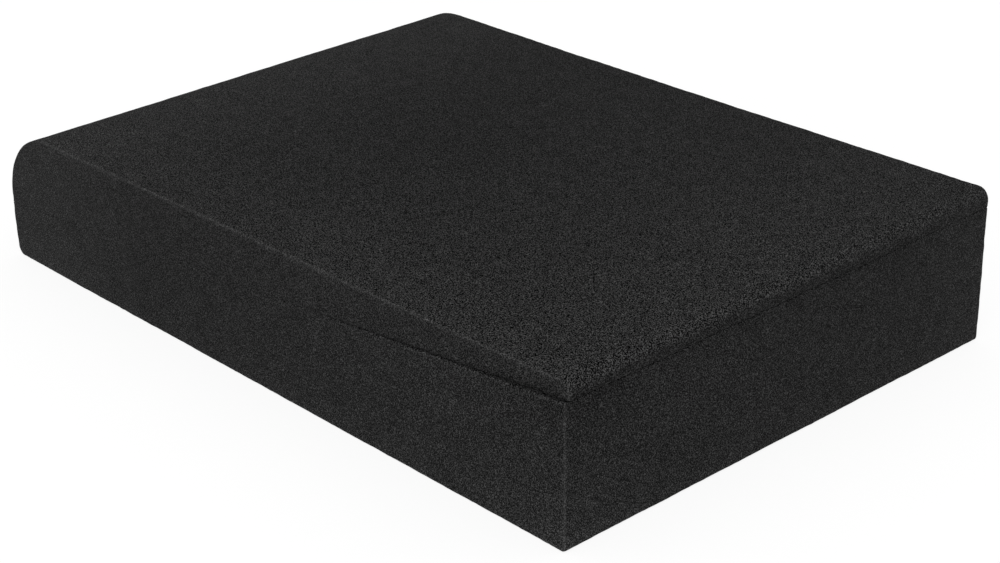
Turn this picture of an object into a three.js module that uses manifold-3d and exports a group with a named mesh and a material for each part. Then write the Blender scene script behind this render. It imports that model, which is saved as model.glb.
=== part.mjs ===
// Speaker isolation pad: two wedges of black open-cell foam, stacked with opposite slopes.
// The thick end of each wedge lies over or under the thin end of the other, so the top is nearly level.
// Frame: millimetres, +Z up, origin at the middle of the underside.
// +X points to the thick end of the base wedge, and -Y to the side on which the top wedge is tapered.
// Each wedge is its side profile run across the pad, trimmed to its plan outline.

import * as THREE from "three";
import { mergeVertices, toCreasedNormals } from "three/addons/utils/BufferGeometryUtils.js";
import Module from "manifold-3d";

const wasm = await Module();
wasm.setup();

// Driving dimensions
const padLength = 330;
const padWidth = 225;
const baseThickEnd = 56.4; // height of the base's end face under the top wedge's thin end
const baseThinEnd = 23.5; // height of the base's end face under the rounded nose
const topThinEnd = 6.8; // thickness of the top wedge over the base's thick end
const topThickEnd = 34.5; // thickness of the top wedge at the nose, measured to the unrounded corner
const noseRadius = 30; // rounding of the top wedge's thick end
const thinEdgeRadius = 4.5; // rounding of the top wedge's upper edge at its thin end
const footRadiusUnderNose = 3; // rounding of the base's lower edge at its thin end
const footRadiusThickEnd = 1.5; // rounding of the base's lower edge at its thick end
const uprightEdgeRadius = 1.5; // rounding of the upright edges at the four corners
const taperDepth = 2; // how far the top wedge's -Y side stands back at its thin end
const taperLength = 140; // length over which that side runs back out to the base's side

// Clearances and fineness
const seamGap = 0.3; // between the two wedges, which only rest on each other
const trimMargin = 5; // how far profiles and trimming prisms run past the solid they make
const arcSegments = 12; // half the number of facets in each rounding
const creaseAngle = THREE.MathUtils.degToRad(30); // edges sharper than this are shaded as edges

const foamColor = 0x28282a;
const foamRoughness = 0.97;

// Derived places
const noseX = -padLength / 2;
const thickEndX = padLength / 2;
const taperedSideY = -padWidth / 2;
const straightSideY = padWidth / 2;
const seamAtNose = baseThinEnd + seamGap;
const seamAtThickEnd = baseThickEnd + seamGap;
const highestPoint = Math.max(seamAtNose + topThickEnd, seamAtThickEnd + topThinEnd);

// Returns a closed outline whose corners are arcs. Each corner is { x, y, radius }, listed anticlockwise.
// Two arcs that share a side get parts of it in proportion to their radii, so they can never cross.
function roundedOutline(corners) {
  const shape = new THREE.Shape();
  corners.forEach((corner, index) => {
    const before = corners[(index + corners.length - 1) % corners.length];
    const after = corners[(index + 1) % corners.length];
    const point = new THREE.Vector2(corner.x, corner.y);
    const toBefore = new THREE.Vector2(before.x, before.y).sub(point);
    const toAfter = new THREE.Vector2(after.x, after.y).sub(point);
    if (corner.radius === 0) {
      drawTo(shape, index, point);
      return;
    }
    const halfAngle = toBefore.angleTo(toAfter) / 2;
    const roomBefore = (toBefore.length() * corner.radius) / (corner.radius + before.radius);
    const roomAfter = (toAfter.length() * corner.radius) / (corner.radius + after.radius);
    const tangentLength = Math.min(corner.radius / Math.tan(halfAngle), roomBefore, roomAfter);
    const radius = tangentLength * Math.tan(halfAngle);
    const inward = toBefore.clone().normalize().add(toAfter.clone().normalize()).normalize();
    const centre = point.clone().addScaledVector(inward, radius / Math.sin(halfAngle));
    const start = point.clone().addScaledVector(toBefore.normalize(), tangentLength);
    const end = point.clone().addScaledVector(toAfter.normalize(), tangentLength);
    const startAngle = start.clone().sub(centre).angle();
    const endAngle = end.clone().sub(centre).angle();
    drawTo(shape, index, start);
    shape.absarc(centre.x, centre.y, radius, startAngle, endAngle, false);
  });
  shape.closePath();
  return shape;
}

// Starts the outline at its first point, and draws a straight side to every later one.
function drawTo(shape, index, point) {
  if (index === 0) {
    shape.moveTo(point.x, point.y);
  } else {
    shape.lineTo(point.x, point.y);
  }
}

// Turns a closed geometry into a solid that can be cut and joined.
function solidOf(geometry) {
  geometry.deleteAttribute("normal");
  geometry.deleteAttribute("uv");
  const merged = mergeVertices(geometry);
  return new wasm.Manifold(
    new wasm.Mesh({
      numProp: 3,
      vertProperties: merged.attributes.position.array,
      triVerts: new Uint32Array(merged.index.array),
    }),
  );
}

// Turns a solid back into a geometry, smooth over the roundings and creased at the cut edges.
function geometryOf(solid) {
  const mesh = solid.getMesh();
  const geometry = new THREE.BufferGeometry();
  geometry.setAttribute("position", new THREE.BufferAttribute(mesh.vertProperties, 3));
  geometry.setIndex(new THREE.BufferAttribute(mesh.triVerts, 1));
  return toCreasedNormals(geometry, creaseAngle);
}

// Runs a side profile, drawn with X to the right and Z up, across the pad and past both of its sides.
function runAcross(profile) {
  const depth = padWidth + 2 * trimMargin;
  const geometry = new THREE.ExtrudeGeometry(profile, { depth, bevelEnabled: false, curveSegments: arcSegments });
  geometry.rotateX(Math.PI / 2);
  geometry.translate(0, depth / 2, 0);
  return solidOf(geometry);
}

// Stands a plan outline, drawn in X and Y, up from below the pad to above it.
function standUp(plan) {
  const depth = highestPoint + 2 * trimMargin;
  const geometry = new THREE.ExtrudeGeometry(plan, { depth, bevelEnabled: false, curveSegments: arcSegments });
  geometry.translate(0, 0, -trimMargin);
  return solidOf(geometry);
}

// Makes one named wedge from its side profile and its plan outline.
function foamWedge(name, profile, plan) {
  const solid = runAcross(profile).intersect(standUp(plan));
  const material = new THREE.MeshStandardMaterial({ color: foamColor, roughness: foamRoughness, metalness: 0 });
  const mesh = new THREE.Mesh(geometryOf(solid), material);
  mesh.name = name;
  return mesh;
}

// The base stands on its flat underside and slopes down towards the nose.
function baseWedge() {
  const profile = roundedOutline([
    { x: noseX, y: 0, radius: footRadiusUnderNose },
    { x: thickEndX, y: 0, radius: footRadiusThickEnd },
    { x: thickEndX, y: baseThickEnd, radius: 0 },
    { x: noseX, y: baseThinEnd, radius: 0 },
  ]);
  const plan = roundedOutline([
    { x: noseX, y: taperedSideY, radius: uprightEdgeRadius },
    { x: thickEndX, y: taperedSideY, radius: uprightEdgeRadius },
    { x: thickEndX, y: straightSideY, radius: uprightEdgeRadius },
    { x: noseX, y: straightSideY, radius: uprightEdgeRadius },
  ]);
  return foamWedge("base_wedge", profile, plan);
}

// The top wedge lies on the slope the other way round, with its nose over the base's thin end.
function topWedge() {
  const profile = roundedOutline([
    { x: noseX, y: seamAtNose, radius: 0 },
    { x: thickEndX, y: seamAtThickEnd, radius: 0 },
    { x: thickEndX, y: seamAtThickEnd + topThinEnd, radius: thinEdgeRadius },
    { x: noseX, y: seamAtNose + topThickEnd, radius: noseRadius },
  ]);
  const plan = roundedOutline([
    { x: noseX, y: taperedSideY, radius: uprightEdgeRadius },
    { x: thickEndX - taperLength, y: taperedSideY, radius: 0 },
    { x: thickEndX, y: taperedSideY + taperDepth, radius: uprightEdgeRadius },
    { x: thickEndX, y: straightSideY, radius: uprightEdgeRadius },
    { x: noseX, y: straightSideY, radius: uprightEdgeRadius },
  ]);
  return foamWedge("top_wedge", profile, plan);
}

const isolationPad = new THREE.Group();
isolationPad.add(baseWedge(), topWedge());

export default isolationPad;
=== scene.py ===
"""Dresses the speaker isolation pad: two wedges of black open-cell foam on a white table.

Lengths are in metres, and MM turns a size in millimetres into metres.
In the pad's frame +Z is up, +X points to the base wedge's thick end, and -Y to the long side that the
camera sees.
"""

import logging
import math
from abc import ABC, abstractmethod
from collections.abc import Callable
from dataclasses import dataclass
from enum import Enum

import bmesh
import bpy
from mathutils import Matrix, Vector, noise


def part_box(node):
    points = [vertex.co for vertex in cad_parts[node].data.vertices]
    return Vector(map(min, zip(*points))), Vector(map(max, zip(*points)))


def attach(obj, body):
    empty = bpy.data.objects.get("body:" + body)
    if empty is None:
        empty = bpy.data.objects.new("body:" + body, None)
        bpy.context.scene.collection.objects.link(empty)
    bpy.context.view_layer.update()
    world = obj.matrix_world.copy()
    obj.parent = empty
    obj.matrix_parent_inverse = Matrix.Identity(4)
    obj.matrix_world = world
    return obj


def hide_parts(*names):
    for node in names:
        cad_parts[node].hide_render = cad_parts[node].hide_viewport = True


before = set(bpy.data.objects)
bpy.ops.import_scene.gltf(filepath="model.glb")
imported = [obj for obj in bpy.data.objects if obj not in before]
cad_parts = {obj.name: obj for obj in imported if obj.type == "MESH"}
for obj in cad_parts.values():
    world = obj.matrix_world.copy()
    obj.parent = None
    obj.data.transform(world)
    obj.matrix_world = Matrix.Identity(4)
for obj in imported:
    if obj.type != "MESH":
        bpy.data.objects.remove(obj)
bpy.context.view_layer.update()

MM = 0.001
BODY = "root"

# Attributes of a wedge's points, which the foam's material reads: its painted light and shade, and its
# grain's contrast
PAINTED_LIGHT_AND_SHADE = "painted_light_and_shade"
GRAIN_CONTRAST = "grain_contrast"

# Places closer together than this count as one, and a cut that passes this close to a point goes through it
SAME_PLACE = 0.001 * MM
CUT_SNAP = 0.01 * MM

# Edges that turn by more than this are rounded, and a face whose normal is more upright than this lies level
SHARP_ANGLE = math.radians(40)
LEVEL_NORMAL = 0.9

# An edge is as far from a point as the second nearest of the wedge's faces
SECOND_NEAREST = 1

# Where the Mix node has its two colours and the mixed one, after its sockets for numbers and vectors
MIX_COLOURS_IN = (6, 7)
MIX_COLOUR_OUT = 2

log = logging.getLogger("isolation_pad")


class Axis(Enum):
    """One of the frame's three directions, as its place in a coordinate."""

    X = 0
    Y = 1
    Z = 2

    @property
    def direction(self) -> Vector:
        """The axis as a unit vector."""
        return Vector(float(self.value == place) for place in range(3))


class NodeBench:
    """Adds and joins the shader nodes of one material or world."""

    def __init__(self, tree: bpy.types.NodeTree) -> None:
        """Starts with an empty tree.

        Args:
            tree: the node tree to fill.
        """
        self.tree = tree
        tree.nodes.clear()

    def add(self, kind: str, **settings: object) -> bpy.types.Node:
        """Adds one node.

        Args:
            kind: the node's Blender type name.
            settings: properties of the node, by name.

        Returns:
            The new node.
        """
        node = self.tree.nodes.new(kind)
        for name, value in settings.items():
            setattr(node, name, value)
        return node

    def join(self, source: bpy.types.NodeSocket, target: bpy.types.NodeSocket) -> None:
        """Links an output to an input."""
        self.tree.links.new(source, target)

    def feed(self, socket: bpy.types.NodeSocket, value: object) -> None:
        """Links an output to a socket, or sets the socket if the value isn't an output.

        Args:
            socket: the input to feed.
            value: another node's output, a number or a colour.
        """
        if isinstance(value, bpy.types.NodeSocket):
            self.join(value, socket)
        else:
            socket.default_value = value

    def math(self, operation: str, *values: object) -> bpy.types.NodeSocket:
        """Works out a sum, product or other operation.

        Args:
            operation: the Math node's operation.
            values: outputs or numbers, in the order of the node's inputs.

        Returns:
            The result's output.
        """
        node = self.add("ShaderNodeMath", operation=operation)
        for place, value in enumerate(values):
            self.feed(node.inputs[place], value)
        return node.outputs[0]

    def ease(self, value: object, start: float, end: float, low: float, high: float) -> bpy.types.NodeSocket:
        """Runs smoothly from one number to another while a value goes from start to end.

        Args:
            value: the output that drives the change.
            start: where the change begins.
            end: where it is complete.
            low: the result at the start.
            high: the result at the end.

        Returns:
            The result's output.
        """
        node = self.add("ShaderNodeMapRange", interpolation_type="SMOOTHSTEP")
        for place, item in enumerate((value, start, end, low, high)):
            self.feed(node.inputs[place], item)
        return node.outputs[0]

    def blend(self, share: object, *colours: object) -> bpy.types.NodeSocket:
        """Mixes two colours.

        Args:
            share: how much of the second colour is used.
            colours: two outputs or colours.

        Returns:
            The mixed colour's output.
        """
        node = self.add("ShaderNodeMix", data_type="RGBA")
        self.feed(node.inputs[0], share)
        for place, colour in zip(MIX_COLOURS_IN, colours):
            self.feed(node.inputs[place], colour)
        return node.outputs[MIX_COLOUR_OUT]


def grey(level: float) -> tuple[float, float, float, float]:
    """A neutral colour of one linear level."""
    return (level, level, level, 1.0)


@dataclass(frozen=True)
class FoamFinish:
    """Black open-cell foam as a blade leaves it: cut cells with dark hollows and paler struts."""

    name: str = "black_open_cell_foam"
    slot: str = "foam"
    level: float = 0.0271

    # The struts' width is in cells, and a pore gets shallower from one level of its noise to the other
    cell_size: float = 0.72 * MM
    strut_width: float = 0.30
    pore_size: float = 0.50 * MM
    pore_deepest: float = 0.28
    pore_shallowest: float = 0.72
    usual_grain: float = 0.24

    # The mottle runs from its darkest at the low level of its noise to its palest at the high one
    mottle_size: float = 7.0 * MM
    mottle_detail: float = 2.0
    mottle_low: float = 0.3
    mottle_high: float = 0.7
    mottle_gain: float = 0.07

    roughness: float = 0.95
    specular: float = 0.01
    relief_depth: float = 0.30 * MM
    pattern_turn: tuple[float, float, float] = (0.61, 0.37, 0.94)

    def material(self) -> bpy.types.Material:
        """Makes the foam's material.

        Returns:
            A material whose pattern follows the object's own coordinates.
        """
        material = bpy.data.materials.new(self.name)
        material.use_nodes = True
        bench = NodeBench(material.node_tree)
        turned = bench.add("ShaderNodeMapping")
        turned.inputs["Rotation"].default_value = self.pattern_turn
        bench.join(bench.add("ShaderNodeTexCoord").outputs["Object"], turned.inputs["Vector"])
        place = turned.outputs[0]
        grain = self._grain(bench, place)
        shader = bench.add("ShaderNodeBsdfPrincipled")
        shader.inputs["Roughness"].default_value = self.roughness
        shader.inputs["Specular IOR Level"].default_value = self.specular
        bench.join(self._colour(bench, place, grain), shader.inputs["Base Color"])
        bump = bench.add("ShaderNodeBump")
        bump.inputs["Strength"].default_value = 1.0
        bump.inputs["Distance"].default_value = self.relief_depth
        bench.join(grain, bump.inputs["Height"])
        bench.join(bump.outputs[0], shader.inputs["Normal"])
        output = bench.add("ShaderNodeOutputMaterial")
        bench.join(shader.outputs[0], output.inputs["Surface"])
        return material

    def _grain(self, bench: NodeBench, place: bpy.types.NodeSocket) -> bpy.types.NodeSocket:
        """Lays out the cut cells: struts along their walls, and pores of uneven depth.

        Args:
            bench: the material's nodes.
            place: the place on the piece.

        Returns:
            The grain, from 0 in a deep pore to 1 on a strut that catches the light.
        """
        walls = bench.add("ShaderNodeTexVoronoi", feature="DISTANCE_TO_EDGE")
        walls.inputs["Scale"].default_value = 1 / self.cell_size
        bench.join(place, walls.inputs["Vector"])
        struts = bench.ease(walls.outputs["Distance"], 0.0, self.strut_width, 1.0, 0.0)
        depth = self._noise(bench, place, self.pore_size, 0.0)
        pores = bench.ease(depth, self.pore_deepest, self.pore_shallowest, 0.0, 1.0)
        return bench.math("MULTIPLY", struts, pores)

    def _noise(
        self, bench: NodeBench, place: bpy.types.NodeSocket, size: float, detail: float
    ) -> bpy.types.NodeSocket:
        """Makes a smooth noise.

        Args:
            bench: the material's nodes.
            place: the place on the piece.
            size: the distance from one blot to the next.
            detail: how many finer layers it has.

        Returns:
            The noise, from 0 to 1.
        """
        node = bench.add("ShaderNodeTexNoise")
        node.inputs["Scale"].default_value = 1 / size
        node.inputs["Detail"].default_value = detail
        bench.join(place, node.inputs["Vector"])
        return node.outputs[0]

    def _colour(
        self, bench: NodeBench, place: bpy.types.NodeSocket, grain: bpy.types.NodeSocket
    ) -> bpy.types.NodeSocket:
        """Colours the grain, with a faint mottle and the painted light and shade that the wedge's points
        carry.

        Args:
            bench: the material's nodes.
            place: the place on the piece.
            grain: the grain's output.

        Returns:
            The colour's output.
        """
        patch = self._noise(bench, place, self.mottle_size, self.mottle_detail)
        swing = self.mottle_gain
        mottle = bench.ease(patch, self.mottle_low, self.mottle_high, 1 - swing, 1 + swing)
        # Painted highlights, painted bounce light, painted sheen and painted shade, carried by the wedge's
        # points, scale the colour
        tone = bench.add("ShaderNodeAttribute", attribute_name=PAINTED_LIGHT_AND_SHADE).outputs["Fac"]
        painted_gain = bench.math("ADD", tone, 1.0)
        contrast = bench.add("ShaderNodeAttribute", attribute_name=GRAIN_CONTRAST).outputs["Fac"]
        off_usual = bench.math("SUBTRACT", bench.math("DIVIDE", grain, self.usual_grain), 1.0)
        shade = bench.math("ADD", bench.math("MULTIPLY", off_usual, contrast), 1.0)
        gain = bench.math("MULTIPLY", bench.math("MULTIPLY", mottle, painted_gain), self.level)
        level = bench.math("MULTIPLY", shade, gain)
        colour = bench.add("ShaderNodeCombineColor")
        for channel in range(3):
            bench.join(level, colour.inputs[channel])
        return colour.outputs[0]


@dataclass(frozen=True)
class FoamRelief:
    """How a cut foam face departs from its plane: low swells, pulled cells and a ragged edge."""

    swell_size: float = 34 * MM
    swell_height: float = 0.16 * MM
    pull_size: float = 6.5 * MM
    pull_height: float = 0.10 * MM
    rag_size: float = 2.6 * MM
    rag_height: float = 0.10 * MM
    rag_off_edges: float = 0.4

    def height(self, point: Vector, edge: float) -> float:
        """How far the surface stands out at a point.

        Args:
            point: the place on the surface.
            edge: 1 on an edge of the wedge, 0 well away from it.

        Returns:
            The height, which is negative in a hollow.
        """
        swell = noise.noise(point / self.swell_size) * self.swell_height
        pull = noise.noise(point / self.pull_size) * self.pull_height
        rag = noise.noise(point / self.rag_size) * self.rag_height * (self.rag_off_edges + edge)
        return swell + pull + rag


def ease(value: float, start: float, end: float) -> float:
    """Runs smoothly from 0 at the start to 1 at the end.

    Args:
        value: the number that drives the change.
        start: where the change begins.
        end: where it is complete, which may be lower than the start.

    Returns:
        The share of the way, from 0 to 1.
    """
    share = max(0.0, min(1.0, (value - start) / (end - start)))
    return share * share * (3 - 2 * share)


@dataclass(frozen=True)
class FoamTones:
    """How the painted light and shade and the grain's contrast change over a wedge, in shares of the foam's
    usual tone.

    Edges, the foot and the nose carry painted highlights, painted bounce light and a painted sheen.
    Painted shade darkens the joint and the middle of the top.
    """

    # Painted highlights along every outer edge, and along the narrow ledge that the top wedge leaves bare
    edge_width: float = 0.64 * MM
    edge_lift: float = 1.0
    ledge_width: float = 0.55 * MM
    ledge_lift: float = 0.42

    # Painted bounce light on the foot, beside the table
    foot_lift: float = 0.25
    foot_height: float = 8.0 * MM

    # The base beside its near upright edge: painted shade high up, which sets in from one share of its
    # height to another, and painted bounce light at the foot
    corner_shade: float = 0.15
    corner_shade_start: float = 0.5
    corner_shade_full: float = 0.85
    corner_reach: float = 52 * MM
    corner_foot_lift: float = 0.22
    corner_foot_height: float = 13 * MM

    # Painted light on the thick end's face towards the far side, and a painted sheen on the nose
    far_end_lift: float = 0.13
    far_end_start: float = 55 * MM
    far_end_full: float = 105 * MM
    far_end_depth: float = 4 * MM
    nose_lift: float = 0.30
    nose_start: float = -55 * MM
    nose_end: float = -150 * MM

    # The top: where it begins at the rounded thin end, a painted highlight on that edge, painted light on
    # its rims, and painted shade in its middle
    top_start: float = 3.6 * MM
    top_full: float = 3.0 * MM
    thin_edge_lift: float = 0.19
    thin_edge_start: float = 7.2 * MM
    thin_edge_full: float = 2.7 * MM
    rim_lift: float = 0.12
    near_rim_start: float = 60 * MM
    thin_rim_start: float = 90 * MM
    thin_rim_full: float = 20 * MM
    mid_top_shade: float = 0.11
    mid_top_shade_place: Vector = Vector((-15 * MM, 12 * MM, 0))
    mid_top_shade_reach: float = 62 * MM

    # Painted shade beside the joint: it fades faster away from the face that it is on than along it
    fade_off_face: float = 4.0
    side_shade: float = 0.12
    side_shade_height: float = 6.0 * MM
    side_shade_length: float = 170 * MM
    end_shade: float = 0.10
    end_shade_depth: float = 12.0 * MM
    joint_shade: float = 0.10
    joint_shade_width: float = 0.5 * MM

    # The grain's contrast on the upright faces and on top, and what it loses at the far corner and on edges
    contrast_sawn: float = 0.74
    contrast_open: float = 1.12
    contrast_lost_afar: float = 0.58
    contrast_lost_at_edge: float = 0.55

    def at_edge(self, distance: float) -> float:
        """How near an edge a distance is, from 0 to 1, for the painted edge highlight, the grain's contrast
        and the ragged relief.
        """
        return math.exp(-((distance / self.edge_width) ** 2))

    def at_ledge(self, distance: float) -> float:
        """How strong the painted highlight on the ledge beside the joint is at a distance from its edge,
        from 0 to 1.
        """
        return math.exp(-((distance / self.ledge_width) ** 2))

    def nose_painted_sheen(self, x: float) -> float:
        """How much a painted sheen brightens the foam towards the nose."""
        return self.nose_lift * ease(x, self.nose_start, self.nose_end)

    def foot_painted_bounce(self, height: float) -> float:
        """How much painted bounce light brightens the foam beside the table."""
        return self.foot_lift * math.exp(-height / self.foot_height)

    def corner_painted_light(self, from_corner: float, height: float, share_up: float) -> float:
        """The painted light beside the near upright edge: painted shade under the joint, painted bounce
        light at the foot.

        Args:
            from_corner: the distance to that edge, along either face.
            height: the height above the table.
            share_up: the height as a share of the base's greatest.

        Returns:
            The change of tone.
        """
        near = ease(from_corner, self.corner_reach, 0.0)
        foot = self.corner_foot_lift * math.exp(-height / self.corner_foot_height)
        shade = self.corner_shade * ease(share_up, self.corner_shade_start, self.corner_shade_full)
        return near * (foot - shade)

    def mid_top_painted_shade(self, point: Vector) -> float:
        """How much painted shade darkens the middle of the top."""
        away = (point.xy - self.mid_top_shade_place.xy).length / self.mid_top_shade_reach
        return self.mid_top_shade * math.exp(-(away**2))

    def contrast(self, upward: float, afar: float, edge: float) -> float:
        """The grain's contrast: strongest on top, and softer towards the far corner and on edges.

        Args:
            upward: how far the surface faces up, from 0 to 1.
            afar: 0 at the corner between the long side and the thick end, 1 at the corner opposite.
            edge: 1 on an edge of the wedge, 0 well away from it.

        Returns:
            The contrast, where 1 takes the deepest pores to black.
        """
        near = self.contrast_sawn + (self.contrast_open - self.contrast_sawn) * upward
        return near * (1 - self.contrast_lost_afar * afar) * (1 - self.contrast_lost_at_edge * edge)


@dataclass(frozen=True)
class Rounding:
    """The rounding of one kind of edge: its radius, and the facets in a quarter turn."""

    radius: float
    facets: int


@dataclass
class FoamWedge(ABC):
    """A wedge of foam, sawn across its whole width to one side profile."""

    finish: FoamFinish
    relief: FoamRelief
    tones: FoamTones
    low: Vector
    high: Vector
    outer_edge: Rounding = Rounding(0.8 * MM, 3)
    joint_edge: Rounding = Rounding(0.30 * MM, 2)

    # The grid that the faces are cut into
    mesh_step: float = 1.65 * MM
    mesh_step_at_edge: float = 0.75 * MM
    edge_zone: float = 3.0 * MM
    weld_distance: float = 0.12 * MM

    # The joint's rounding is drawn out between these places, a little past its own radius
    joint_open_to: float = 70 * MM
    joint_healed_from: float = -50 * MM
    healed_radii: float = 1.05

    @property
    @abstractmethod
    def node(self) -> str:
        """The CAD node that the wedge stands for."""

    @abstractmethod
    def underside_at(self, x: float) -> float:
        """The height of the wedge's unrounded underside at x."""

    @abstractmethod
    def top_at(self, x: float) -> float:
        """The height of the wedge's unrounded top at x."""

    @abstractmethod
    def round_profile(self, mesh: bmesh.types.BMesh) -> None:
        """Rounds the edges that run across the wedge, as its side profile has them."""

    @abstractmethod
    def is_joint_edge(self, edge: bmesh.types.BMEdge) -> bool:
        """Whether an edge borders the face that meets the other wedge."""

    @abstractmethod
    def settle(self, point: Vector) -> Vector:
        """Where a point of the sawn wedge lies once the wedge has settled in place."""

    @abstractmethod
    def bears(self, normal: Vector) -> bool:
        """Whether a surface with this normal lies on something or carries something."""

    @abstractmethod
    def edge_at(self, point: Vector) -> float:
        """How near an outer edge a point is, from 0 to 1 on the edge."""

    @abstractmethod
    def painted_light_at(self, point: Vector) -> float:
        """How much painted light and painted shade change the foam's tone at a point, apart from the
        highlights on its outer edges.
        """

    def heal(self, point: Vector, from_joint: float) -> float:
        """How far the rounding beside the joint is drawn out again, where the joint closes towards the nose.

        Args:
            point: the place on the wedge.
            from_joint: the distance up or down to the joint.

        Returns:
            The shift along -Y.
        """
        inset = point.y - self.low.y
        reach = self.joint_edge.radius * self.healed_radii
        if inset > reach or from_joint > reach:
            return 0.0
        return inset * ease(point.x, self.joint_open_to, self.joint_healed_from)

    def end_painted_light(self, from_joint: float, from_end: float, across: float) -> float:
        """How much painted shade darkens the end face beside the joint, and how much painted light brightens
        it towards the far side.

        Args:
            from_joint: the distance up or down to the joint.
            from_end: the distance to the end face.
            across: the place across the pad.

        Returns:
            The loss of tone, which is 0 away from the end face.
        """
        tones = self.tones
        away = from_joint + tones.fade_off_face * from_end
        broad = tones.end_shade * math.exp(-away / tones.end_shade_depth)
        close = tones.joint_shade * math.exp(-(((from_joint + from_end) / tones.joint_shade_width) ** 2))
        pale = tones.far_end_lift * ease(across, tones.far_end_start, tones.far_end_full)
        return broad + close - pale * ease(from_end, tones.far_end_depth, 0.0)

    def from_sides(self, point: Vector) -> list[float]:
        """The distances from a point to the wedge's four upright faces."""
        return [
            point.x - self.low.x,
            self.high.x - point.x,
            point.y - self.low.y,
            self.high.y - point.y,
        ]

    def build(self) -> bpy.types.Object:
        """Makes the wedge's mesh, its finish and its place in the frame.

        Returns:
            The finished piece.
        """
        mesh = bmesh.new()
        bmesh.ops.create_cube(mesh, size=1.0)
        for corner in mesh.verts:
            corner.co.x = self.low.x if corner.co.x < 0 else self.high.x
            corner.co.y = self.low.y if corner.co.y < 0 else self.high.y
            corner.co.z = self.underside_at(corner.co.x) if corner.co.z < 0 else self.top_at(corner.co.x)
        self.round_profile(mesh)
        round_edges(mesh, lambda edge: is_sharp(edge) and not self.is_joint_edge(edge), self.outer_edge)
        round_edges(mesh, lambda edge: is_sharp(edge) and self.is_joint_edge(edge), self.joint_edge)
        self._slice(mesh)
        self._weather(mesh)
        return self._piece(mesh)

    def _slice(self, mesh: bmesh.types.BMesh) -> None:
        """Cuts the faces into a fine grid, finer beside the edges.

        Args:
            mesh: the wedge's mesh.
        """
        for axis in Axis:
            start, end = self.low[axis.value], self.high[axis.value]
            for place in self._stations(start, end):
                cut_across(mesh, axis, place)
        bmesh.ops.remove_doubles(mesh, verts=mesh.verts, dist=self.weld_distance)

    def _stations(self, start: float, end: float) -> list[float]:
        """The places of the cuts between two ends.

        Args:
            start: the lower end.
            end: the upper end.

        Returns:
            The places, close together near both ends and further apart between them.
        """
        fine = int(self.edge_zone / self.mesh_step_at_edge)
        beside = [number * self.mesh_step_at_edge for number in range(1, fine + 1)]
        span = end - start - 2 * beside[-1]
        count = max(1, round(span / self.mesh_step))
        between = [start + beside[-1] + span * number / count for number in range(1, count)]
        return [start + step for step in beside] + between + [end - step for step in reversed(beside)]

    def _weather(self, mesh: bmesh.types.BMesh) -> None:
        """Gives the sawn faces their relief, settles the wedge and marks the painted light and shade of its
        points.

        Args:
            mesh: the wedge's mesh.
        """
        mesh.normal_update()
        tone = mesh.verts.layers.float.new(PAINTED_LIGHT_AND_SHADE)
        contrast = mesh.verts.layers.float.new(GRAIN_CONTRAST)
        size = self.high - self.low
        places = []
        for corner in mesh.verts:
            edge = self.edge_at(corner.co)
            # Painted highlight on the outer edges, plus the painted light and shade of the wedge's other
            # places
            corner[tone] = self.tones.edge_lift * edge + self.painted_light_at(corner.co)
            afar = ((self.high.x - corner.co.x) + (corner.co.y - self.low.y)) / (size.x + size.y)
            corner[contrast] = self.tones.contrast(max(0.0, corner.normal.z), afar, edge)
            place = self.settle(corner.co)
            if not self.bears(corner.normal):
                place += corner.normal * self.relief.height(corner.co, edge)
            places.append(place)
        for corner, place in zip(mesh.verts, places):
            corner.co = place

    def _piece(self, mesh: bmesh.types.BMesh) -> bpy.types.Object:
        """Turns the mesh into a piece of the pad.

        Args:
            mesh: the finished bmesh, which is freed.

        Returns:
            The piece, in its place on the pad's body.
        """
        bmesh.ops.recalc_face_normals(mesh, faces=mesh.faces)
        for face in mesh.faces:
            face.smooth = True
        name = self.node + "_foam"
        data = bpy.data.meshes.new(name)
        mesh.to_mesh(data)
        mesh.free()
        data.materials.append(self.finish.material())
        piece = bpy.data.objects.new(name, data)
        bpy.context.scene.collection.objects.link(piece)
        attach(piece, BODY)
        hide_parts(self.node)
        return piece


def is_sharp(edge: bmesh.types.BMEdge) -> bool:
    """Whether the faces at an edge meet at a marked angle."""
    return edge.calc_face_angle(0.0) > SHARP_ANGLE


def round_edges(
    mesh: bmesh.types.BMesh, chosen: Callable[[bmesh.types.BMEdge], bool], rounding: Rounding
) -> None:
    """Rounds some of a mesh's edges.

    Args:
        mesh: the mesh to change.
        chosen: tells whether an edge is to be rounded.
        rounding: the radius and fineness.
    """
    edges = [edge for edge in mesh.edges if chosen(edge)]
    bmesh.ops.bevel(
        mesh,
        geom=edges,
        offset=rounding.radius,
        offset_type="OFFSET",
        segments=rounding.facets,
        profile=0.5,
        affect="EDGES",
        clamp_overlap=False,
        material=-1,
    )


def cut_across(mesh: bmesh.types.BMesh, axis: Axis, place: float) -> None:
    """Cuts every face that crosses a plane square to an axis.

    Args:
        mesh: the mesh to change.
        axis: the direction that the plane is square to.
        place: the plane's place along the axis.
    """
    bmesh.ops.bisect_plane(
        mesh,
        geom=mesh.verts[:] + mesh.edges[:] + mesh.faces[:],
        dist=CUT_SNAP,
        plane_co=axis.direction * place,
        plane_no=axis.direction,
    )


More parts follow.
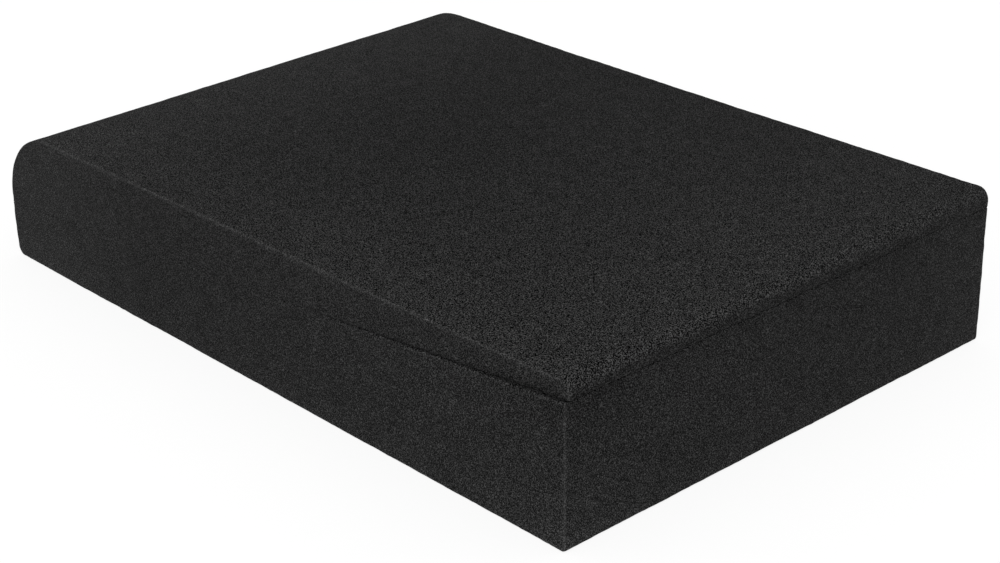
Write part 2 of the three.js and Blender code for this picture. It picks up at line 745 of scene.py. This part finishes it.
@dataclass
class BaseWedge(FoamWedge):
    """The lower wedge: flat underneath, with its top sawn on a slope."""

    thin_end_height: float = 23.5 * MM
    foot_under_nose: Rounding = Rounding(3.6 * MM, 6)
    foot_at_thick_end: Rounding = Rounding(1.5 * MM, 4)
    foot_lean: float = 1.1 * MM
    foot_lean_height: float = 16 * MM
    foot_lean_start: float = -130 * MM

    @property
    def node(self) -> str:
        """The CAD node that the wedge stands for."""
        return "base_wedge"

    def underside_at(self, x: float) -> float:
        """The height of the underside, which lies on the table."""
        return self.low.z

    def top_at(self, x: float) -> float:
        """The height of the slope at x."""
        share = (x - self.low.x) / (self.high.x - self.low.x)
        return self.thin_end_height + share * (self.high.z - self.thin_end_height)

    def round_profile(self, mesh: bmesh.types.BMesh) -> None:
        """Rounds the two lower edges that run across."""
        for end, rounding in ((self.low.x, self.foot_under_nose), (self.high.x, self.foot_at_thick_end)):
            round_edges(mesh, lambda edge: lies_at(edge, end, self.low.z), rounding)

    def is_joint_edge(self, edge: bmesh.types.BMEdge) -> bool:
        """Whether an edge borders the slope."""
        return all(abs(end.co.z - self.top_at(end.co.x)) < SAME_PLACE for end in edge.verts)

    def settle(self, point: Vector) -> Vector:
        """Closes the joint's rounding towards the nose, and leans the foot under the nose in a little.

        Args:
            point: the place on the sawn wedge.

        Returns:
            Its place on the settled wedge.
        """
        below_joint = self.top_at(point.x) - point.z
        low_down = ease(point.z, self.foot_lean_height, self.low.z)
        lean = self.foot_lean * low_down * ease(point.x, self.foot_lean_start, self.low.x)
        return point + Vector((lean, -self.heal(point, below_joint), 0))

    def bears(self, normal: Vector) -> bool:
        """Whether a surface lies on the table or carries the top wedge."""
        return abs(normal.z) > LEVEL_NORMAL

    def edge_at(self, point: Vector) -> float:
        """How near the upright edges and the foot's edges a point is."""
        from_faces = sorted([*self.from_sides(point), point.z - self.low.z])
        return self.tones.at_edge(from_faces[SECOND_NEAREST])

    def painted_light_at(self, point: Vector) -> float:
        """The painted light and shade over the base: a painted highlight at the ledge, painted bounce light
        at the foot and near corner, a painted sheen towards the nose, and painted shade under the joint with
        painted light on the thick end towards the far side.

        Args:
            point: the place on the sawn wedge.

        Returns:
            The change of tone, which is negative where painted shade darkens the foam.
        """
        tones = self.tones
        below_joint = self.top_at(point.x) - point.z
        from_thick_end = self.high.x - point.x
        from_near_side = point.y - self.low.y
        # Painted highlight on the ledge, painted bounce light at the foot, painted sheen towards the nose,
        # painted shade and light at the near corner and on the end face
        bare = max(0.0, 1 - from_thick_end / tones.side_shade_length)
        ledge = tones.ledge_lift * bare * tones.at_ledge(max(below_joint, from_near_side))
        height = point.z - self.low.z
        share_up = height / (self.high.z - self.low.z)
        foot_and_nose_light = tones.foot_painted_bounce(height) + tones.nose_painted_sheen(point.x)
        corner = tones.corner_painted_light(max(from_thick_end, from_near_side), height, share_up)
        return ledge + foot_and_nose_light + corner - self.end_painted_light(below_joint, from_thick_end, point.y)


@dataclass
class TopWedge(FoamWedge):
    """The upper wedge: it lies on the slope the other way round, with a rounded nose at its thick end."""

    thick_end_thickness: float = 34.5 * MM
    thin_end_thickness: float = 6.8 * MM
    nose: Rounding = Rounding(30.0 * MM, 20)
    thin_edge: Rounding = Rounding(4.5 * MM, 7)
    corner_above_box: float = 0.07 * MM

    # How far the near side stands back at the thin end, and how much less it does for each metre up
    stand_back: float = 2.0 * MM
    stand_back_length: float = 140 * MM
    undercut: float = 0.16

    # How the top sags in the middle, curls up at the thin end and drops at the nose
    sag_near: float = -0.22 * MM
    sag_far: float = 0.55 * MM
    curl_near: float = 0.42 * MM
    curl_far: float = 0.78 * MM
    nose_drop: float = 0.3 * MM

    # The gap that the solids leave at the joint, and what the settled wedge leaves of it
    joint_gap: float = 0.3 * MM
    joint_open_at_end: float = 0.14 * MM
    joint_left_open: float = 0.02 * MM
    joint_closes_in: float = 160 * MM

    @property
    def node(self) -> str:
        """The CAD node that the wedge stands for."""
        return "top_wedge"

    @property
    def seam_slope(self) -> float:
        """The rise of the underside for each metre along the pad."""
        rise = (self.top_at(self.high.x) - self.thin_end_thickness) - self.low.z
        return rise / (self.high.x - self.low.x)

    def underside_at(self, x: float) -> float:
        """The height of the underside at x."""
        return self.low.z + self.seam_slope * (x - self.low.x)

    def top_at(self, x: float) -> float:
        """The height of the unrounded top.

        Args:
            x: the place along the pad.

        Returns:
            The height, which at the thin end's unrounded corner is a little above the wedge's box.
        """
        share = (x - self.low.x) / (self.high.x - self.low.x)
        at_nose = self.low.z + self.thick_end_thickness
        at_thin_end = self.high.z + self.corner_above_box
        return at_nose + share * (at_thin_end - at_nose)

    def round_profile(self, mesh: bmesh.types.BMesh) -> None:
        """Rounds the nose and the thin end's upper edge."""
        for end, rounding in ((self.low.x, self.nose), (self.high.x, self.thin_edge)):
            round_edges(mesh, lambda edge: lies_at(edge, end, self.top_at(end)), rounding)

    def is_joint_edge(self, edge: bmesh.types.BMEdge) -> bool:
        """Whether an edge borders the underside."""
        return all(abs(end.co.z - self.underside_at(end.co.x)) < SAME_PLACE for end in edge.verts)

    def settle(self, point: Vector) -> Vector:
        """Draws the near side back towards the thin end, and lets the top sag and the thin end curl up.

        Args:
            point: the place on the sawn wedge.

        Returns:
            Its place on the settled wedge.
        """
        from_thin_end = self.high.x - point.x
        along = (point.x - self.low.x) / (self.high.x - self.low.x)
        far = (point.y - self.low.y) / (self.high.y - self.low.y)
        height = point.z - self.underside_at(point.x)
        thickness = self.top_at(point.x) - self.underside_at(point.x)
        share_up = max(0.0, min(1.0, height / thickness))
        fade = max(0.0, 1 - from_thin_end / self.stand_back_length)
        shift = fade * (self.stand_back - self.undercut * height) * (1 - far)
        sag = (self.sag_near + (self.sag_far - self.sag_near) * far) * math.sin(math.pi * along)
        curl = (self.curl_near + (self.curl_far - self.curl_near) * far) * along
        rise = curl - sag - self.nose_drop * (1 - along)
        closed = min(1.0, from_thin_end / self.joint_closes_in)
        left_open = self.joint_open_at_end + (self.joint_left_open - self.joint_open_at_end) * closed
        closing = self.joint_gap - left_open
        shift -= self.heal(point, height)
        return Vector((point.x, point.y + shift, point.z + rise * share_up - closing * (1 - share_up)))

    def bears(self, normal: Vector) -> bool:
        """Whether a surface lies on the base."""
        return normal.z < -LEVEL_NORMAL

    def edge_at(self, point: Vector) -> float:
        """How near the upright edges and the upper edges a point is."""
        from_faces = sorted([*self.from_sides(point), self.top_at(point.x) - point.z])
        return self.tones.at_edge(from_faces[SECOND_NEAREST])

    def painted_light_at(self, point: Vector) -> float:
        """The painted light and shade over the top wedge: a painted sheen on the nose, painted highlights
        and shade on the top, and painted shade on the side and end above the joint.

        Args:
            point: the place on the sawn wedge.

        Returns:
            The change of tone, which is negative where painted shade darkens the foam.
        """
        tones = self.tones
        height = point.z - self.underside_at(point.x)
        depth = self.top_at(point.x) - point.z
        from_thin_end = self.high.x - point.x
        from_near_side = point.y - self.low.y
        # Painted shade beside the joint, a painted highlight on the thin edge, painted light on the rims,
        # painted shade in the middle of the top and a painted sheen on the nose
        tucked = max(0.0, 1 - from_thin_end / tones.side_shade_length)
        away = height + tones.fade_off_face * from_near_side
        beside = tones.side_shade * tucked * math.exp(-away / tones.side_shade_height)
        on_top = ease(depth, tones.top_start, tones.top_full)
        on_top *= ease(from_near_side, 0.0, self.outer_edge.radius)
        crown = tones.thin_edge_lift * ease(from_thin_end, tones.thin_edge_start, tones.thin_edge_full)
        near_rim = ease(from_near_side, tones.near_rim_start, 0.0)
        thin_rim = ease(from_thin_end, tones.thin_rim_start, tones.thin_rim_full)
        rim = tones.rim_lift * max(near_rim, thin_rim)
        broad = tones.nose_painted_sheen(point.x) + on_top * (max(crown, rim) - tones.mid_top_painted_shade(point))
        return broad - max(beside, self.end_painted_light(height, from_thin_end, point.y))


def lies_at(edge: bmesh.types.BMEdge, x: float, z: float) -> bool:
    """Whether both ends of an edge are at the given x and z."""
    return all(abs(end.co.x - x) < SAME_PLACE and abs(end.co.z - z) < SAME_PLACE for end in edge.verts)


@dataclass(frozen=True)
class Lamp:
    """A square soft box that faces the pad."""

    name: str
    place: Vector
    width: float
    watts: float

    def hang(self) -> None:
        """Adds the lamp to the scene."""
        data = bpy.data.lights.new(self.name, "AREA")
        data.size = self.width
        data.energy = self.watts
        lamp = bpy.data.objects.new(self.name, data)
        lamp.location = self.place
        lamp.rotation_euler = (-self.place).to_track_quat("-Z", "Y").to_euler()
        bpy.context.scene.collection.objects.link(lamp)


@dataclass(frozen=True)
class Studio:
    """A white table under a bright even sky, one soft box, and the camera."""

    key: Lamp = Lamp("key_box", Vector((1.26, -1.8, 0.9)), 1.4, 14.0)

    # The sky's light on the pad, and the table as light bounces off it and as the camera sees it
    sky_level: float = 0.70
    table_level: float = 0.88
    table_level_seen: float = 0.20
    table_glow: float = 0.86
    table_size: float = 8.0
    table_drop: float = 0.15 * MM

    # The camera: its place, its angles in degrees, and its lens and sensor in millimetres
    camera_place: Vector = Vector((649.275, -589.527, 427.347)) * MM
    azimuth: float = 47.169
    elevation: float = 25.681
    roll: float = -0.531
    lens: float = 86.39
    sensor_width: float = 36.0

    def set_up(self) -> None:
        """Builds the whole studio."""
        self._sky()
        self._table()
        self._camera()
        self.key.hang()
        bpy.context.scene.view_settings.view_transform = "Standard"

    def _sky(self) -> None:
        """Makes the sky: even light on the pad, and pure white where the camera sees it."""
        world = bpy.data.worlds.new("studio_sky")
        world.use_nodes = True
        bench = NodeBench(world.node_tree)
        seen = self._seen(bench)
        background = bench.add("ShaderNodeBackground")
        bench.feed(background.inputs["Color"], grey(1.0))
        level = bench.math("MULTIPLY_ADD", seen, 1 - self.sky_level, self.sky_level)
        bench.join(level, background.inputs["Strength"])
        output = bench.add("ShaderNodeOutputWorld")
        bench.join(background.outputs[0], output.inputs["Surface"])
        bpy.context.scene.world = world

    def _seen(self, bench: NodeBench) -> bpy.types.NodeSocket:
        """Tells the rays that see the backdrop from the rays that light the pad.

        Args:
            bench: the nodes to add to.

        Returns:
            An output that is 1 for camera, glossy and transmission rays, and 0 for the rest.
        """
        path = bench.add("ShaderNodeLightPath")
        looks = bench.math("MAXIMUM", path.outputs["Is Camera Ray"], path.outputs["Is Glossy Ray"])
        return bench.math("MAXIMUM", looks, path.outputs["Is Transmission Ray"])

    def _table(self) -> None:
        """Lays the white table, which keeps the pad's shadow."""
        mesh = bmesh.new()
        bmesh.ops.create_grid(mesh, x_segments=1, y_segments=1, size=self.table_size / 2)
        bmesh.ops.translate(mesh, vec=(0, 0, -self.table_drop), verts=mesh.verts)
        data = bpy.data.meshes.new("table")
        mesh.to_mesh(data)
        mesh.free()
        material = bpy.data.materials.new("table_white")
        material.use_nodes = True
        bench = NodeBench(material.node_tree)
        seen = self._seen(bench)
        matt = bench.add("ShaderNodeBsdfDiffuse")
        shown = bench.blend(seen, grey(self.table_level), grey(self.table_level_seen))
        bench.join(shown, matt.inputs["Color"])
        glow = bench.add("ShaderNodeEmission")
        bench.join(bench.math("MULTIPLY", seen, self.table_glow), glow.inputs["Strength"])
        both = bench.add("ShaderNodeAddShader")
        bench.join(matt.outputs[0], both.inputs[0])
        bench.join(glow.outputs[0], both.inputs[1])
        output = bench.add("ShaderNodeOutputMaterial")
        bench.join(both.outputs[0], output.inputs["Surface"])
        data.materials.append(material)
        table = bpy.data.objects.new("table", data)
        bpy.context.scene.collection.objects.link(table)

    def _camera(self) -> None:
        """Stands the camera where the photograph was taken from."""
        data = bpy.data.cameras.new("camera")
        data.sensor_width = self.sensor_width
        data.lens = self.lens
        camera = bpy.data.objects.new("camera", data)
        camera.matrix_world = (
            Matrix.Translation(self.camera_place)
            @ Matrix.Rotation(math.radians(self.azimuth), 4, "Z")
            @ Matrix.Rotation(math.radians(90 - self.elevation), 4, "X")
            @ Matrix.Rotation(math.radians(self.roll), 4, "Z")
        )
        bpy.context.scene.collection.objects.link(camera)
        bpy.context.scene.camera = camera


def main() -> None:
    """Builds the pad and its studio, and reports each piece."""
    logging.basicConfig(level=logging.INFO, format="%(name)s: %(message)s")
    Studio().set_up()
    finish = FoamFinish()
    relief = FoamRelief()
    tones = FoamTones()
    wedges: list[FoamWedge] = [
        BaseWedge(finish, relief, tones, *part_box("base_wedge")),
        TopWedge(finish, relief, tones, *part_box("top_wedge")),
    ]
    for wedge in wedges:
        piece = wedge.build()
        log.info("%s: %d faces", piece.name, len(piece.data.polygons))


if __name__ == "__main__":
    main()
